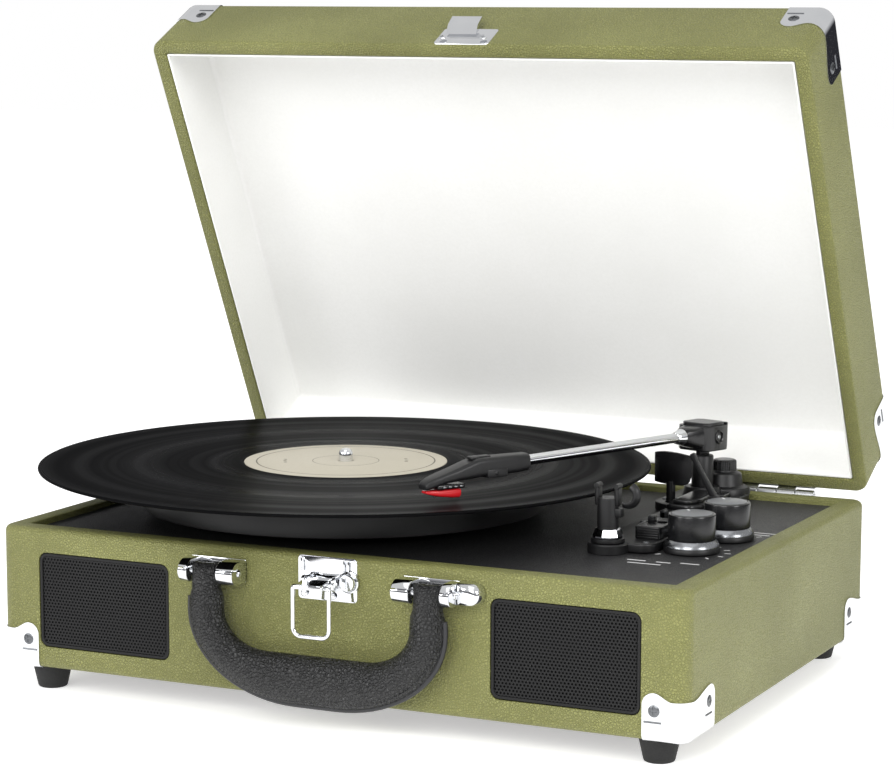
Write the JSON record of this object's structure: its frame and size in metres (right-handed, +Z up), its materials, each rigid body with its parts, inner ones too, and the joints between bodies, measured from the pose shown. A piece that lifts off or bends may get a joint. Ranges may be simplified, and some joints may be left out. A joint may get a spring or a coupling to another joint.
{
  "type": "suitcase turntable record player",
  "caption": "Portable suitcase record player with a hinged lid, belt-driven platter carrying a record, tonearm with cue and rest, front speakers, control knobs, carry handle and draw latch.",
  "frame": {"origin": "on the surface that the feet stand on, under the middle of the whole object's box with the lid open", "axes": "+Z up, +X to the right seen from the front, -Y towards the front with the handle and latch"},
  "size_m": [0.3776, 0.3234, 0.3244],
  "materials": {
    "case_leatherette": "fine-grained olive leatherette over board",
    "lining_paper": "smooth white lining paper",
    "fibreboard": "dark fibreboard",
    "deck_vinyl": "black leather-grain vinyl",
    "black_plastic": "satin black moulded plastic",
    "handle_leather": "black grained leatherette, padded",
    "chrome": "polished chrome plate",
    "steel": "nickel-plated steel",
    "rubber": "matte black rubber",
    "record_vinyl": "grooved glossy black vinyl",
    "label_paper": "matte cream paper",
    "red_plastic": "glossy red plastic",
    "circuit_board": "green circuit board",
    "grille_metal": "black painted perforated metal"
  },
  "bodies": {
    "case": {"base_shell": "case_leatherette", "bottom_board": "fibreboard", "deck_plate": "deck_vinyl", "foot_front_left": "rubber", "base_guard_front_left": "chrome", "foot_front_right": "rubber", "base_guard_front_right": "chrome", "foot_back_left": "rubber", "base_guard_back_left": "chrome", "foot_back_right": "rubber", "base_guard_back_right": "chrome", "grille_left": "grille_metal", "speaker_left": "black_plastic", "handle_bracket_left": "chrome", "hinge_base_leaf_left": "steel", "grille_right": "grille_metal", "speaker_right": "black_plastic", "handle_bracket_right": "chrome", "hinge_base_leaf_right": "steel", "latch_plate": "chrome", "lock_cylinder": "chrome", "jack_panel": "black_plastic", "control_board": "circuit_board", "platter_bearing": "steel", "drive_belt": "rubber", "motor": "steel", "arm_base": "black_plastic", "arm_rest_post": "black_plastic"},
    "lid": {"lid_shell": "case_leatherette", "lid_lining": "lining_paper", "lid_catch": "chrome", "lid_guard_front_left": "chrome", "lid_guard_front_right": "chrome", "lid_guard_back_left": "chrome", "lid_guard_back_right": "chrome", "hinge_lid_leaf_left": "steel", "hinge_lid_leaf_right": "steel"},
    "platter": {"platter": "black_plastic", "platter_mat": "rubber", "record_disc": "record_vinyl", "record_label": "label_paper", "spindle": "chrome"},
    "motor_pulley": {"motor_pulley": "steel"},
    "arm_yoke": {"arm_yoke": "black_plastic"},
    "tonearm": {"arm_housing": "black_plastic", "arm_tube": "chrome", "headshell": "black_plastic", "cartridge": "black_plastic", "stylus": "red_plastic"},
    "cue_lever": {"cue_lever": "black_plastic"},
    "cue_lifter": {"cue_lifter": "black_plastic"},
    "rest_clip": {"arm_rest_clip": "black_plastic"},
    "speed_selector": {"speed_selector": "black_plastic"},
    "auto_stop_switch": {"auto_stop_switch": "black_plastic"},
    "volume_knob": {"volume_knob": "black_plastic"},
    "source_knob": {"source_knob": "black_plastic"},
    "carry_handle": {"carry_handle": "handle_leather"},
    "latch_lever": {"latch_lever": "chrome"},
    "latch_bail": {"latch_bail": "chrome"}
  },
  "joints": [
    {"name": "lid_hinge", "type": "hinge", "parent": "case", "child": "lid", "pos_m": [0.01273, 0.12301, 0.0786], "axis": [-1, 0, 0], "range_deg": [0, 27]},
    {"name": "platter_spin", "type": "hinge", "parent": "case", "child": "platter", "pos_m": [-0.03827, -0.01209, 0.0922], "axis": [0, 0, -1], "continuous": true},
    {"name": "pulley_spin", "type": "hinge", "parent": "case", "child": "motor_pulley", "pos_m": [-0.10323, 0.02541, 0.0902], "axis": [0, 0, -1], "continuous": true},
    {"name": "arm_swing", "type": "hinge", "parent": "case", "child": "arm_yoke", "pos_m": [0.11322, 0.08431, 0.1022], "axis": [0, 0, 1], "range_deg": [-21, 16.9]},
    {"name": "arm_lift", "type": "hinge", "parent": "arm_yoke", "child": "tonearm", "pos_m": [0.11322, 0.08431, 0.1117], "axis": [-0.9659, 0.2588, 0], "range_deg": [0, 12]},
    {"name": "cue_lever_turn", "type": "hinge", "parent": "case", "child": "cue_lever", "pos_m": [0.13172, 0.05381, 0.0852], "axis": [0, 1, 0], "range_deg": [0, 50]},
    {"name": "cue_lifter_slide", "type": "slide", "parent": "case", "child": "cue_lifter", "axis": [0, 0, -1], "range_m": [0, 0.004]},
    {"name": "rest_clip_hinge", "type": "hinge", "parent": "case", "child": "rest_clip", "pos_m": [0.12492, -0.05119, 0.0988], "axis": [0, -1, 0], "range_deg": [0, 15]},
    {"name": "speed_slide", "type": "slide", "parent": "case", "child": "speed_selector", "axis": [0, 1, 0], "range_m": [0, 0.015]},
    {"name": "auto_stop_slide", "type": "slide", "parent": "case", "child": "auto_stop_switch", "axis": [1, 0, 0], "range_m": [0, 0.0045]},
    {"name": "volume_turn", "type": "hinge", "parent": "case", "child": "volume_knob", "pos_m": [0.15222, -0.03369, 0.0862], "axis": [0, 0, -1], "range_deg": [0, 300]},
    {"name": "source_turn", "type": "hinge", "parent": "case", "child": "source_knob", "pos_m": [0.15623, 0.00231, 0.0862], "axis": [0, 0, -1], "range_deg": [-45, 45]},
    {"name": "handle_swing", "type": "hinge", "parent": "case", "child": "carry_handle", "pos_m": [0.01273, -0.13869, 0.0692], "axis": [-1, 0, 0], "range_deg": [0, 100]},
    {"name": "latch_lever_turn", "type": "hinge", "parent": "case", "child": "latch_lever", "pos_m": [0.01413, -0.13479, 0.0682], "axis": [-1, 0, 0], "range_deg": [0, 60]},
    {"name": "bail_swing", "type": "hinge", "parent": "latch_lever", "child": "latch_bail", "pos_m": [0.01322, -0.14459, 0.068], "axis": [-1, 0, 0], "range_deg": [0, 85]}
  ],
  "couplings": [
    {"joint": "pulley_spin", "follows": "platter_spin", "ratio": 10.5},
    {"joint": "cue_lifter_slide", "follows": "cue_lever_turn", "m_per_rad": 0.0045}
  ]
}
